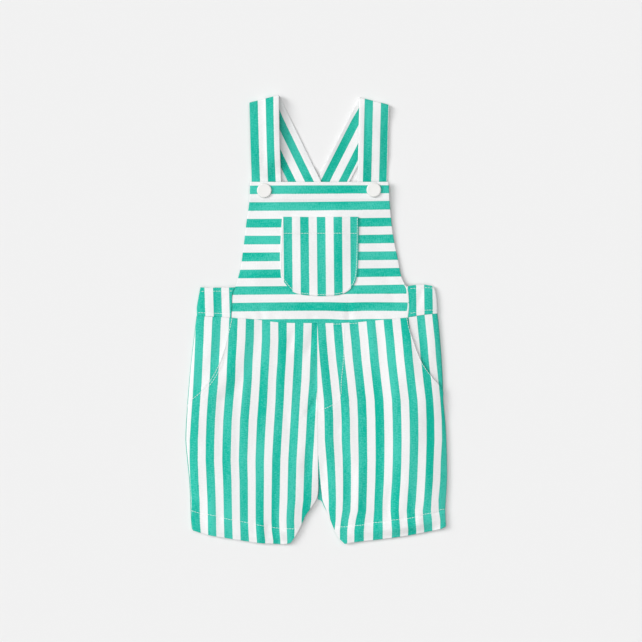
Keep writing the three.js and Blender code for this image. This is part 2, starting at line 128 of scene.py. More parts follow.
# A sewn edge rolls over in a reach shorter by this factor and starts blunt, and its stitches draw it up to its
# neighbour, so it closes most of the seam's gap
SEWN_TIGHT = 3.2
SEWN_BLUNT = 0.25
SEWN_GROWTH = 0.12
MESH_STEP = 1.05
FRONT_CLOTH = 1.4
LAYER_GAP = 0.4
SEAM_HEIGHT = 2.1
INSEAM_LIFT = 0.8
SIDE_REACH = 34
INSEAM_REACH = 20
FRONT_INSET = 0.9
LEG_HEM = 21
LEG_SIZE = (136, 232)
LEFT_SIDE = [
    (-122, 33.6), (-124.5, 20.2), (-125.8, 11.8), (-126.2, 3.4), (-128, -11.3), (-132.8, -53.3), (-136.2, -95.3),
    (-137.7, -126.8), (-136.5, -142.5), (-133.9, -168.8), (-132.8, -189.8), (-132, -210.8), (-130.9, -221.8),
]
LEFT_SLASH = [
    (-89.8, 1.3), (-92.1, -9.2), (-96.6, -27), (-101.9, -43.8), (-109.7, -59.6), (-117.1, -70.1),
    (-124.4, -78), (-134.6, -86),
]
LEFT_HEM = [
    (-130.9, -221.8), (-113.9, -226.7), (-96.1, -229.7), (-79.3, -232.3), (-62, -234.9), (-45.7, -235.8),
    (-31.5, -236), (-27.2, -234.9),
]
LEFT_INSEAM = [
    (0.72, -4.1), (0.85, -60), (1.15, -100), (1.5, -145.7), (1.75, -160), (1.9, -171.9), (1.7, -180.1),
    (0.1, -188.3), (-6.2, -198.5), (-11.2, -205.5), (-18.4, -220.8), (-24, -230.3), (-27.2, -234.9),
]
RIGHT_SIDE = [
    (122.6, 34.9), (124.6, 30.7), (126.2, 22.3), (127.1, 6.2), (128.1, -0.8), (131.6, -42.8), (133.9, -84.8),
    (136, -105.8), (137.3, -126.8), (137.9, -150), (137.9, -168.8), (136.8, -189.8), (136.2, -199),
    (136.9, -217.6),
]
RIGHT_SLASH = [
    (95.9, 1.6), (98, -9), (101.3, -19.7), (110.1, -42.8), (117.7, -54.9), (123.1, -61.7), (132, -71.5),
]
RIGHT_HEM = [
    (136.9, -217.6), (131, -220.3), (112.9, -224.1), (96.3, -227.3), (79.1, -229.8), (59.3, -232.1),
    (39.4, -234.4), (29.7, -236),
]
RIGHT_INSEAM = [
    (0.82, -4.1), (0.95, -60), (1.25, -100), (1.65, -146.3), (2.2, -160), (3.5, -170), (5.3, -180.8),
    (6.5, -190.3), (12.9, -206.2), (18.6, -220.8), (23.7, -229.7), (29.7, -236),
]
WAIST_SEAM_LEFT = [(-89.8, 1.3), (-65.0, -0.3), (-38.3, -3.5), (0.72, -4.1)]
WAIST_SEAM_RIGHT = [(0.82, -4.1), (37.3, -3.5), (70.9, -0.6), (95.9, 1.6)]
# The right leg lies fuller down its side, from these distances across and down. The inside legs come down between
# these distances from the waist. At the hem the front rests on the back, by this share and from this far up.
RIGHT_FULLNESS = 2.2
FULL_ACROSS = (50, 95)
FULL_DOWN = (0, 60)
INSEAM_FALL = (128, 188)
HEM_REST = 1.8
HEM_DOWN = {"left": (0.6, 7), "right": (1.0, 11)}
# How far past the slash, and below its end, the leg panel is lifted over the hip panel
SLASH_PAST = (16, 37)
SLASH_BELOW = (9, 40)
# The legs' puff, and the hem's stitches: how far up, and the puckers, the dip and the step by them
LEG_PUFF = 0.9
HEM_LINE_LEFT = [(-131, 21), (-27, 15)]
HEM_LINE_RIGHT = 18.4
HEM_PUCKER = 0.16
HEM_DIP = 0.35
HEM_STEP = 0.5
# Height of the front's under face along the middle of each leg, by y
FRONT_MIDDLE = [(-236, 3.8), (-212, 4.2), (-190, 4.6), (-60, 4.8), (0, 4.4), (36, 3.9)]
# Stripes of the left leg: the left edge of five green stripes by y, numbered from the side seam
LEFT_NUMBERS = (0, 1, 3, 5, 7)
LEFT_STRIPES = [
    (20, -124.4, -107.6, -73.4, -39.6, -4), (-2.9, -126.7, -109.2, -73.8, -40, -4.7),
    (-21.8, -127.1, -110, -74.3, -39.8, -5.4), (-42.8, -127.9, -111, -75.7, -40.6, -6.3),
    (-63.8, -128.9, -111.8, -76.3, -42.1, -7), (-84.8, -129.9, -113.7, -78.2, -42.7, -8.8),
    (-105.8, -131.4, -115, -80, -44, -10), (-126.8, -132.8, -115.8, -80.6, -45.3, -11.1),
    (-147.8, -133, -116, -81.2, -46.3, -12.4), (-168.8, -132.4, -115, -80.4, -46.6, -13.1),
    (-189.8, -131.1, -114.1, -80.2, -46.9, -13.7), (-200.3, -131, -113.9, -80.1, -47, -14.9),
    (-210.8, -131, -113.7, -80, -47.1, -15.5), (-221.3, -129.6, -113.6, -79.6, -46.7, -15.2),
    (-232, -129.2, -113.4, -79.4, -45.2, -16),
]
# Stripes of the right leg: the left edge of six green stripes by y, numbered from the centre seam
RIGHT_NUMBERS = (0, 1, 2, 4, 6, 7)
RIGHT_STRIPES = [
    (10, -0.4, 16.5, 33.6, 69.5, 104.8, 121), (-11.3, 1.6, 18.3, 35.4, 71.5, 106.8, 123.2),
    (-21.8, 2.1, 19, 36.5, 72.6, 107.9, 124.4), (-42.8, 3.8, 20.9, 38.3, 74.4, 109.7, 125.8),
    (-63.8, 5.8, 23.5, 40.7, 76.8, 112.1, 128), (-84.8, 8, 25.5, 42.9, 79.3, 114.6, 130),
    (-105.8, 8.7, 26.6, 43.7, 80, 115.5, 131.6), (-126.8, 9, 26.7, 44, 80.3, 115.6, 131.9),
    (-147.8, 10.7, 27.7, 44.4, 80.1, 115, 130.6), (-168.8, 12.1, 28, 44.3, 79.4, 114.1, 130),
    (-189.8, 13.1, 27.9, 44, 77.9, 112.8, 128.1), (-200.3, 13.1, 27.4, 43.7, 77.8, 111.5, 128.4),
    (-210.8, 14.6, 25.8, 41.3, 78.6, 112, 130.1), (-221.3, 13.1, 24.7, 39.8, 79.4, 113.2, 130.1),
]
# Creases: where each is, how long it is, its lean from upright in degrees, its height (a trough is below zero)
# and its width. CREASE_DEPTH deepens them all.
CREASE_DEPTH = 1.5
CREASES_LEFT = [
    (-52, -62, 120, 3, 0.5, 5), (-107, -106, 95, 3, 0.45, 5), (-90, -124, 90, 1, 0.6, 5),
    (-74, -75, 34, 4, 0.45, 4), (-75, -124, 55, 2, 0.35, 5), (-109, -203, 55, -3, 0.5, 5),
    (-90, -190, 50, -3, 0.4, 5), (-59, -224, 22, 0, 0.45, 4), (-22, -150, 26, 4, 0.3, 5), (-17, -18, 34, 8, 0.4, 5),
    (-96, -42, 34, 20, -0.8, 5), (-27, -24, 24, 14, -0.6, 4), (-4, -20, 40, 18, -0.8, 5), (0, -52, 46, 6, -0.7, 4),
    (-4, -91, 24, 30, -0.85, 4), (-29, -112, 40, -6, -0.5, 6), (-13, -178, 66, 8, -0.55, 6),
    (-50, -221, 18, 0, -0.5, 4), (-126, -116, 28, 0, 0.4, 4), (-126, -166, 34, -3, 0.4, 4),
    (-33, -226, 22, -32, -0.6, 3.5), (-42, -229, 16, -28, -0.4, 3), (-36, -64, 60, 6, 0.25, 7),
    (-120, -208, 26, -4, -0.4, 5), (-9, -150, 34, 6, -0.5, 5),
]
CREASES_RIGHT = [
    (12, -112, 80, -4, 0.4, 5), (33, -108, 90, -6, 0.5, 5), (60, -27, 50, -5, 0.6, 5), (97, -32, 50, -8, 0.6, 5),
    (65, -116, 46, -2, 0.35, 6), (84, -75, 30, -4, 0.4, 5), (87, -142, 36, 0, 0.35, 5), (44, -180, 50, 3, 0.65, 5),
    (44, -226, 20, 3, 0.45, 4), (27, -102, 26, -6, -0.5, 4), (8, -160, 24, -10, -0.5, 4), (97, -146, 56, 2, 0.3, 9),
    (92, -182, 44, 10, 0.35, 8), (76, -192, 40, 8, -0.7, 5), (25, -130, 60, -6, -0.35, 5),
    (118, -170, 80, 3, 0.6, 8), (46, -60, 60, -8, -0.35, 6), (104, -96, 60, -5, 0.4, 8), (60, -212, 26, 6, -0.5, 4),
    (108, -212, 22, 4, 0.45, 5), (16, -30, 44, -12, -0.4, 5), (122, -40, 40, -6, 0.4, 6),
]

# Topstitching in white thread: size of a stitch, and the rows on the legs
STITCH_PITCH = 2.75
STITCH_LENGTH = 2.3
THREAD_RADIUS = 0.21
THREAD_SIDES = 6
THREAD_COLOURS = ((0.88, 0.89, 0.89, 1), (0.95, 0.95, 0.95, 1))
# Along one stitch, from end to end: share of its length, of its radius, and rise over the cloth in mm
STITCH_PROFILE = [(0.0, 0.5, 0.02), (0.14, 0.95, 0.16), (0.5, 1.0, 0.23), (0.86, 0.95, 0.16), (1.0, 0.5, 0.02)]
# The slash pockets' rows are this far in from the edge
SLASH_ROWS = (1.4, 4.4)
SLASH_END = (-134.0, -85.4)
HEM_ROW_LEFT = [
    (-131.4, -200.9), (-122.9, -203.4), (-113.9, -204.8), (-105.5, -206.1), (-96.1, -208.7), (-88.7, -210.3),
    (-71.9, -213.4), (-56.2, -216.6), (-39.4, -219.2), (-20.6, -220),
]
HEM_ROW_RIGHT = [
    (19.5, -217.8), (31.4, -217.6), (40.4, -216.4), (49.1, -215.5), (60.4, -213.3), (68.4, -212.5), (79.1, -210.4),
    (95.8, -208.6), (102.7, -207.2), (111.8, -204.5), (119.8, -203), (128.9, -200), (134.6, -199.2),
]
FLY_ROW = [
    (29.2, -7), (28, -44.9), (25.9, -65.9), (25.4, -79.5), (22.5, -86.5), (15.9, -90.2),
    (8.9, -93.5), (2.9, -95.3),
]
BIB_SEAM_ROW = [(14.0, -5.0), (28.0, -4.9), (46.0, -3.8)]


def runs_of(line):
    """The length run along a line at each of its points."""
    return np.concatenate([[0], np.cumsum(np.linalg.norm(np.diff(line, axis=0), axis=1))])


def curve(points):
    """A smooth line through points (centripetal Catmull-Rom), read by the share of its length."""
    p = np.array(points, float)
    p = np.vstack([2 * p[0] - p[1], p, 2 * p[-1] - p[-2]])
    t = np.linspace(0, 1, 24, endpoint=False)[:, None]
    gap = np.sqrt(np.linalg.norm(np.diff(p, axis=0), axis=1))
    runs = []
    for i in range(1, len(p) - 2):
        g0, g1, g2 = gap[i - 1], gap[i], gap[i + 1]
        into = ((p[i] - p[i - 1]) / g0 - (p[i + 1] - p[i - 1]) / (g0 + g1) + (p[i + 1] - p[i]) / g1) * g1
        out = ((p[i + 1] - p[i]) / g1 - (p[i + 2] - p[i]) / (g1 + g2) + (p[i + 2] - p[i + 1]) / g2) * g1
        bend = -3 * p[i] + 3 * p[i + 1] - 2 * into - out
        twist = 2 * p[i] - 2 * p[i + 1] + into + out
        runs.append(p[i] + into * t + bend * t**2 + twist * t**3)
    line = np.vstack([*runs, p[-2]])
    share = runs_of(line) / runs_of(line)[-1]
    return lambda at: np.stack([np.interp(at, share, line[:, k]) for k in range(line.shape[1])], -1)


def x_at(points, y):
    """The x of an outline at a height y."""
    rows = np.array(sorted(points, key=lambda point: point[1]))
    return np.interp(y, rows[:, 1], rows[:, 0])


def ease(value, low, high):
    """0 below low, 1 above high, and a smooth rise between."""
    t = np.clip((value - low) / (high - low), 0, 1)
    return t * t * (3 - 2 * t)


def eased(rows, y):
    """The value of a (y, value) table at y, eased from row to row."""
    table = np.array(rows, float)
    at = np.clip(np.searchsorted(table[:, 0], y) - 1, 0, len(table) - 2)
    low, high = table[at], table[at + 1]
    return low[..., 1] + (high[..., 1] - low[..., 1]) * ease(y, low[..., 0], high[..., 0])


def on_left(x, y):
    """Whether a point is left of the centre seam."""
    return x < np.interp(y, *np.array(SEAM_LINE).T)


def from_side(x, y):
    """How far a point is from its leg's side seam."""
    return np.where(on_left(x, y), x - x_at(LEFT_SIDE, y), x_at(RIGHT_SIDE, y) - x)


def from_inseam(x, y):
    """How far a point is from its inside leg."""
    return np.where(on_left(x, y), x_at(LEFT_INSEAM, y) - x, x - x_at(RIGHT_INSEAM, y))


def rounding(distance, reach):
    """A rise from 0 at an edge to 1 at reach, along a parabola."""
    left = 1 - np.clip(distance / reach, 0, 1)
    return 1 - left * left


def creased(x, y, rows):
    """The sum of soft ridges and troughs: each is a bell across its width and fades along its length."""
    row = np.array(rows, float)[:, None]
    cx, cy, length, lean, height, width = np.moveaxis(row, -1, 0)
    lean = np.radians(lean)
    dx, dy = np.ravel(x)[None] - cx, np.ravel(y)[None] - cy
    across = dx * np.cos(lean) - dy * np.sin(lean)
    along = dx * np.sin(lean) + dy * np.cos(lean)
    bells = height * np.exp(-((across / width) ** 2) - (2 * along / length) ** 4)
    return CREASE_DEPTH * bells.sum(0).reshape(np.shape(x))


def seam_lift(x, y):
    """How much higher than the side seams the inside legs lie by the hem."""
    return INSEAM_LIFT * ease(-y, 186, 215) * (ease(x, -60, -30) - ease(x, 30, 60))


def front_lower(x, y):
    """Height of the front's under face: low at the side seams and inside legs, highest along each leg's middle,
    with an even fall down the right side, and let down to the back at the hem."""
    side, inseam = from_side(x, y), from_inseam(x, y)
    inside = 1 + (rounding(inseam, INSEAM_REACH) - 1) * ease(-y, *INSEAM_FALL)
    full = ease(x, *FULL_ACROSS) * ease(-y, *FULL_DOWN)
    slack = 0.7 * rounding(side, SIDE_REACH) + 0.3 * rounding(side, 6)
    even = 0.55 * ease(side, 0, 46) + 0.45 * rounding(side, 13)
    seam = SEAM_HEIGHT + seam_lift(x, y)
    middle = np.maximum(eased(FRONT_MIDDLE, y) + RIGHT_FULLNESS * full, seam)
    under = seam + (middle - seam) * (slack + (even - slack) * full) * inside
    rests = np.where(on_left(x, y)[..., None], HEM_DOWN["left"], HEM_DOWN["right"])
    share, reach = np.moveaxis(rests, -1, 0)
    down = share * (1 - ease(hem_rise(x, y), 0, reach)) * ease(np.minimum(side, inseam), 2, 14)
    return under + (HEM_REST - under) * down


def slash_step(x, y):
    """How much the leg panel is raised where it laps over the hip panel behind the slash pocket."""
    left = on_left(x, y)
    past = np.where(left, x - x_at(LEFT_SLASH, y), x_at(RIGHT_SLASH, y) - x)
    below = np.where(left, LEFT_SLASH[-1][1], RIGHT_SLASH[-1][1]) - y
    return (FRONT_CLOTH + LAYER_GAP) * (1 - ease(past, *SLASH_PAST)) * (1 - ease(below, *SLASH_BELOW))


def hem_rise(x, y):
    """How far a point is above the leg's hem."""
    hem_left, hem_right = (np.interp(x, *np.array(hem).T) for hem in (LEFT_HEM, RIGHT_HEM[::-1]))
    return y - np.where(on_left(x, y), hem_left, hem_right)


def leg_top(x, y):
    """Height of the legs' upper face: the form, its creases, and the dip and puckers along the hem's stitches."""
    left = on_left(x, y)
    puff = LEG_PUFF * ease(-y, -10, 60) * (1 - ease(-y, 190, 236)) * rounding(from_side(x, y), 50)
    folds = np.where(left, creased(x, y, CREASES_LEFT), creased(x, y, CREASES_RIGHT))
    line = hem_rise(x, y) - np.where(left, np.interp(x, *np.array(HEM_LINE_LEFT).T), HEM_LINE_RIGHT)
    pucker = HEM_PUCKER * (np.sin(x / 3.1) + np.sin(x / 1.9 + 1.3) + 0.8 * np.sin(x / 5.3 + 0.5))
    hem = pucker * np.exp(-((line / 7) ** 2)) - HEM_DIP * np.exp(-((line / 1.3) ** 2))
    hem = hem + HEM_STEP * (1 - ease(line, -2, 1))
    return front_lower(x, y) + slash_step(x, y) + FRONT_CLOTH + puff + folds + hem


def stripe_number(x, y, rows, numbers):
    """How many stripes in a point is: straight lines between the measured stripes on each side of it, row by row."""
    table = np.array(sorted(rows), float)
    places = [np.interp(y, table[:, 0], column) for column in table[:, 1:].T]
    total = np.full(np.shape(x), float(numbers[0]))
    last = len(numbers) - 2
    for k in range(last + 1):
        share = (x - places[k]) / (places[k + 1] - places[k])
        share = np.clip(share, -np.inf if k == 0 else 0, np.inf if k == last else 1)
        total += (numbers[k + 1] - numbers[k]) * share
    return total


def leg_stripes(x, y):
    """Stripe numbers of both legs' panels."""
    left = stripe_number(x, y, LEFT_STRIPES, LEFT_NUMBERS)
    return np.where(on_left(x, y), left, stripe_number(x, y, RIGHT_STRIPES, RIGHT_NUMBERS))


def patch(top, bottom, left, right, across, down):
    """A surface between four edges (a Coons patch): the ruled faces both ways, less the one through the corners."""
    t, b, l, r = curve(top), curve(bottom), curve(left), curve(right)
    a, d = across[None, :, None], down[:, None, None]
    corners = (1 - d) * ((1 - a) * t(0.0) + a * t(1.0)) + d * ((1 - a) * b(0.0) + a * b(1.0))
    sides = (1 - a) * l(down)[:, None] + a * r(down)[:, None]
    ends = (1 - d) * t(across)[None] + d * b(across)[None]
    return np.moveaxis(sides + ends - corners, -1, 0)


def spaced(length, step):
    """Shares from 0 to 1 along a length: even steps, and close ones where the edge rolls over at each end."""
    roll = np.array([0.0, 0.1, 0.35, 0.75]) * EDGE_ROLL
    inner = np.linspace(1.3 * EDGE_ROLL, length - 1.3 * EDGE_ROLL, max(3, round(length / step)))
    return np.concatenate([roll, inner, length - roll[::-1]]) / length


def placed(name, points, faces, material):
    """One piece of the garment, smooth-shaded, from points in mm. No piece moves on its own."""
    points[:, :2] += SHIFT
    mesh = bpy.data.meshes.new(name)
    mesh.from_pydata((points * MM).tolist(), [], faces)
    mesh.polygons.foreach_set("use_smooth", np.ones(len(faces), bool))
    mesh.materials.append(material)
    mesh.update()
    piece = bpy.data.objects.new(name, mesh)
    bpy.context.scene.collection.objects.link(piece)
    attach(piece, "root")
    return piece


def cloth_mesh(name, upper, lower, stripe, grain, material):
    """A closed sheet from two grids of points that share their rim, with the stripe number and the run along the
    yarn, in mm, as its UV map."""
    rows, columns = upper.shape[:2]
    top = np.arange(rows * columns).reshape(rows, columns)
    rim = np.ones((rows, columns), bool)
    rim[1:-1, 1:-1] = False
    under = np.where(rim, top, 0)
    under[~rim] = rows * columns + np.arange((~rim).sum())
    points = np.vstack([upper.reshape(-1, 3), lower[~rim]])
    uv = np.stack([stripe, grain], -1)
    uv = np.vstack([uv.reshape(-1, 2), uv[~rim]])

    def faces(grid):
        return np.stack([grid[1:, :-1], grid[1:, 1:], grid[:-1, 1:], grid[:-1, :-1]], -1).reshape(-1, 4)

    quads = np.vstack([faces(top), faces(under)[:, ::-1]])
    piece = placed(name, points, quads.tolist(), material)
    layer = piece.data.uv_layers.new(name="cloth")
    layer.data.foreach_set("uv", uv[quads.ravel()].astype(np.float32).ravel())
    return piece


def panel(node, size, top, thickness, stripes, grain, outline, sewn=(), step=MESH_STEP):
    """The cloth of one solid: its outline (top, bottom, left and right edge) filled by a patch, its upper face at
    top(x, y), and its rim rolled over as a half circle between the two faces, in a shorter reach along the edges in
    sewn. The thickness is a number, or a function where it changes."""
    across, down = spaced(size[0], step), spaced(size[1], step)
    x, y = patch(*outline, across, down)
    reach = {
        "left": across[None] * size[0], "right": (1 - across)[None] * size[0],
        "top": down[:, None] * size[1], "bottom": (1 - down)[:, None] * size[1],
    }
    edge = np.full_like(x, EDGE_ROLL)
    for side, distance in reach.items():
        edge = np.minimum(edge, distance * SEWN_TIGHT + SEWN_BLUNT if side in sewn else distance)
    thick = thickness(x, y) if callable(thickness) else thickness
    half = thick / 2 * np.sqrt(1 - (1 - edge / EDGE_ROLL) ** 2)
    middle = top(x, y) - thick / 2
    for side, way in (("top", SEWN_GROWTH), ("bottom", -SEWN_GROWTH)):
        if side in sewn:
            y = y + way * (reach[side] < 0.01)
    upper, lower = (np.stack([x, y, middle + face * half], -1) for face in (1, -1))
    return cloth_mesh(node + "_cloth", upper, lower, stripes(x, y), grain(x, y), twill)


def shifted(points, dx=0.0, dy=0.0):
    """An outline moved sideways or up."""
    return [(x + dx, y + dy) for x, y in points]


def between(points, high, low):
    """The stretch of an outline between two heights, from high to low."""
    inner = [(x, y) for x, y in points if low + 1 < y < high - 1]
    return [(x_at(points, high), high), *inner, (x_at(points, low), low)]


GREEN_DEEP = (0.0, 0.422, 0.308, 1)
GREEN_PALE = (0.062, 0.542, 0.434, 1)
WHITE_CLOTH = (0.832, 0.836, 0.836, 1)
WHITE_SHADE = (0.772, 0.780, 0.782, 1)
STRIPE_PERIOD = 17.5
GREEN_SHARE = 0.515
GREEN_START = -0.016
STRIPE_BLUR = 0.012
TWILL_PITCH = 0.62
CLOTH_APART = 400
# How often each kind of yarn varies across the stripes and along them, per mm
WARP = (1.1, 0.10)
WEFT = (0.28, 1.15)
FLECK = (0.9, 0.9)
STREAK = (0.05, 0.012)
# The middle of all their variation together, and how strongly it shows
MOTTLE_MIDDLE = 2.65
MOTTLE_STRENGTH = 1.55


def striped_twill(name, deep, pale):
    """Yarn-dyed twill. The stripe number gives green or white; fine diagonal ribs, thicker yarns both ways and a
    faint cloudiness, drawn out along the yarn, vary the colour, and the ribs and yarns stand up a little."""
    material = bpy.data.materials.new(name)
    material.use_nodes = True
    tree = material.node_tree
    nodes, links = tree.nodes, tree.links

    def calc(operation, *values):
        node = nodes.new("ShaderNodeMath")
        node.operation = operation
        for socket, value in zip(node.inputs, values):
            if isinstance(value, (int, float)):
                socket.default_value = value
            else:
                links.new(value, socket)
        return node.outputs[0]

    def mix(share, first, second):
        node = nodes.new("ShaderNodeMix")
        node.data_type = "RGBA"
        for identifier, value in (("Factor_Float", share), ("A_Color", first), ("B_Color", second)):
            socket = next(s for s in node.inputs if s.identifier == identifier)
            if hasattr(value, "is_output"):
                links.new(value, socket)
            else:
                socket.default_value = value
        return next(s for s in node.outputs if s.identifier == "Result_Color")

    def noise(vector, scale, detail):
        node = nodes.new("ShaderNodeTexNoise")
        node.inputs["Scale"].default_value = scale
        node.inputs["Detail"].default_value = detail
        links.new(vector, node.inputs["Vector"])
        return node.outputs["Fac"]

    def yarn(often, detail):
        node = nodes.new("ShaderNodeCombineXYZ")
        for socket, value, scale in zip(node.inputs, (across, run), often):
            links.new(calc("MULTIPLY", value, scale), socket)
        return noise(node.outputs[0], 1.0, detail)

    uv = nodes.new("ShaderNodeUVMap")
    uv.uv_map = "cloth"
    split = nodes.new("ShaderNodeSeparateXYZ")
    links.new(uv.outputs["UV"], split.inputs[0])
    number, run = split.outputs["X"], split.outputs["Y"]
    across = calc("MULTIPLY", number, STRIPE_PERIOD)
    warp, weft, fleck, streak = yarn(WARP, 2), yarn(WEFT, 2), yarn(FLECK, 1), yarn(STREAK, 0)
    place = nodes.new("ShaderNodeTexCoord")
    patches = noise(place.outputs["Object"], 60.0, 2)
    cloud = calc("MULTIPLY_ADD", patches, 0.2, calc("MULTIPLY", streak, 0.8))
    rib = calc("SINE", calc("MULTIPLY", calc("ADD", across, run), 2 * math.pi / TWILL_PITCH))
    wander = calc("MULTIPLY", calc("SUBTRACT", weft, 0.5), 0.03)
    centred = calc("ADD", calc("ADD", number, wander), 0.5 - GREEN_SHARE / 2 - GREEN_START)
    off_green = calc("ABSOLUTE", calc("SUBTRACT", calc("FRACT", centred), 0.5))
    edge = nodes.new("ShaderNodeMapRange")
    edge.interpolation_type = "SMOOTHSTEP"
    links.new(off_green, edge.inputs["Value"])
    half, blur = GREEN_SHARE / 2, STRIPE_BLUR
    for socket, value in {"From Min": half - blur, "From Max": half + blur, "To Min": 1, "To Max": 0}.items():
        edge.inputs[socket].default_value = value
    yarns = calc("MULTIPLY_ADD", weft, 1.6, warp)
    grain = calc("ADD", yarns, calc("MULTIPLY_ADD", cloud, 1.7, fleck))
    mottle = calc("MULTIPLY_ADD", calc("SUBTRACT", grain, MOTTLE_MIDDLE), MOTTLE_STRENGTH, 0.5)
    mottle = calc("MULTIPLY_ADD", rib, 0.12, mottle)
    green = mix(mottle, deep, pale)
    white = mix(mottle, WHITE_SHADE, WHITE_CLOTH)
    colour = mix(edge.outputs["Result"], white, green)
    bump = nodes.new("ShaderNodeBump")
    bump.inputs["Strength"].default_value = 0.5
    bump.inputs["Distance"].default_value = 0.00012
    relief = calc("MULTIPLY_ADD", rib, 0.3, calc("ADD", warp, weft))
    links.new(relief, bump.inputs["Height"])
    shader = nodes["Principled BSDF"]
    links.new(colour, shader.inputs["Base Color"])
    links.new(bump.outputs[0], shader.inputs["Normal"])
    shader.inputs["Roughness"].default_value = 0.88
    shader.inputs["Specular IOR Level"].default_value = 0.16
    shader.inputs["Sheen Weight"].default_value = 0.04
    shader.inputs["Sheen Roughness"].default_value = 0.5
    return material


twill = striped_twill("striped_twill", GREEN_DEEP, GREEN_PALE)


def mottled(name, colours, noise_scale, detail, roughness):
    """A plain material whose colour wanders between two near ones."""
    material = bpy.data.materials.new(name)
    material.use_nodes = True
    nodes, links = material.node_tree.nodes, material.node_tree.links
    place = nodes.new("ShaderNodeTexCoord")
    noise = nodes.new("ShaderNodeTexNoise")
    noise.inputs["Scale"].default_value = noise_scale
    noise.inputs["Detail"].default_value = detail
    ramp = nodes.new("ShaderNodeValToRGB")
    for element, colour in zip(ramp.color_ramp.elements, colours):
        element.color = colour
    shader = nodes["Principled BSDF"]
    links.new(place.outputs["Object"], noise.inputs["Vector"])
    links.new(noise.outputs["Fac"], ramp.inputs[0])
    links.new(ramp.outputs[0], shader.inputs["Base Color"])
    shader.inputs["Roughness"].default_value = roughness
    return material


def leg_cloth(x, y):
    """The leg's cloth, thicker in the turned-up hem."""
    return CLOTH + (HEM_CLOTH - CLOTH) * (1 - ease(hem_rise(x, y), LEG_HEM - 3, LEG_HEM))


def run_down(x, y):
    """The yarn runs down the garment. Each side is cut from its own length of cloth."""
    return y + CLOTH_APART * (x > CENTRE)


def stitched(name, rows, surface):
    """Rows of stitches as one mesh. Each stitch is a short six-sided capsule from its first to its last point on the
    surface, thinner and lower at both ends, where the thread goes into the cloth."""
    starts, ends = [], []
    for row in rows:
        line = curve(row)(np.linspace(0, 1, 400))
        run = runs_of(line)
        count = int(run[-1] / STITCH_PITCH)
        first = (np.arange(count) + 0.5) * run[-1] / count - STITCH_LENGTH / 2
        for at, points in ((first, starts), (first + STITCH_LENGTH, ends)):
            points.append(np.stack([np.interp(at, run, line[:, k]) for k in (0, 1)], -1))
    start, end = (np.column_stack([p, surface(*p.T)]) for p in map(np.vstack, (starts, ends)))
    ahead = (end - start) / np.linalg.norm(end - start, axis=1)[:, None]
    side = np.cross(ahead, [0, 0, 1])
    side /= np.linalg.norm(side, axis=1)[:, None]
    up = np.cross(side, ahead)
    share, size, rise = np.array(STITCH_PROFILE).T
    turn = np.arange(THREAD_SIDES) * 2 * np.pi / THREAD_SIDES
    centre = start[:, None] + (end - start)[:, None] * share[:, None] + up[:, None] * rise[:, None]
    radius = THREAD_RADIUS * size[:, None, None]
    ring = radius * (np.cos(turn)[:, None] * side[:, None, None] + np.sin(turn)[:, None] * up[:, None, None])
    rings = centre[:, :, None] + ring
    tips = centre[:, [0, -1]]
    per_stitch = len(share) * THREAD_SIDES + 2
    points = np.concatenate([rings.reshape(len(start), -1, 3), tips], axis=1).reshape(-1, 3)
    grid = np.arange(len(share) * THREAD_SIDES).reshape(len(share), THREAD_SIDES)
    after = np.roll(grid, -1, 1)
    walls = np.stack([grid[:-1], grid[1:], after[1:], after[:-1]], -1).reshape(-1, 4)
    caps = np.concatenate([
        np.stack([grid[0], after[0], np.full(THREAD_SIDES, per_stitch - 2)], -1),
        np.stack([after[-1], grid[-1], np.full(THREAD_SIDES, per_stitch - 1)], -1),
    ])
    shift = np.arange(len(start))[:, None, None] * per_stitch
    faces = (walls + shift).reshape(-1, 4).tolist() + (caps + shift).reshape(-1, 3).tolist()
    rows_piece = placed(name, points, faces, thread)
    return rows_piece


def laid(piece):
    """Hides the solid that a piece of cloth stands for."""
    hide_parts(piece.name.removesuffix("_cloth"))


thread = mottled("white_thread", THREAD_COLOURS, 2600, 2, 0.6)
front_leg_left = panel("front_leg_left", LEG_SIZE, leg_top, leg_cloth, leg_stripes, run_down, [
    shifted(WAIST_SEAM_LEFT, 0, SEAM_SHIFT), LEFT_HEM,
    shifted([*LEFT_SLASH[:-1], *between(LEFT_SIDE, -88, LEFT_HEM[0][1])], FRONT_INSET), LEFT_INSEAM,
], ("top", "right"))
front_leg_right = panel("front_leg_right", LEG_SIZE, leg_top, leg_cloth, leg_stripes, run_down, [
    shifted(WAIST_SEAM_RIGHT, 0, SEAM_SHIFT), RIGHT_HEM[::-1],
    RIGHT_INSEAM, shifted([*RIGHT_SLASH[:-1], *between(RIGHT_SIDE, -74, RIGHT_HEM[0][1])], -FRONT_INSET),
], ("top", "left"))
rows_left = [
    HEM_ROW_LEFT, shifted([*LEFT_SLASH[:-1], SLASH_END], SLASH_ROWS[0]), shifted(LEFT_SLASH[3:-1], SLASH_ROWS[1]),
]
rows_right = [HEM_ROW_RIGHT, shifted(RIGHT_SLASH[:-1], -SLASH_ROWS[0]), FLY_ROW, BIB_SEAM_ROW]
stitches_left = stitched("leg_left_stitches", rows_left, leg_top)
stitches_right = stitched("leg_right_stitches", rows_right, leg_top)
laid(front_leg_left)
laid(front_leg_right)

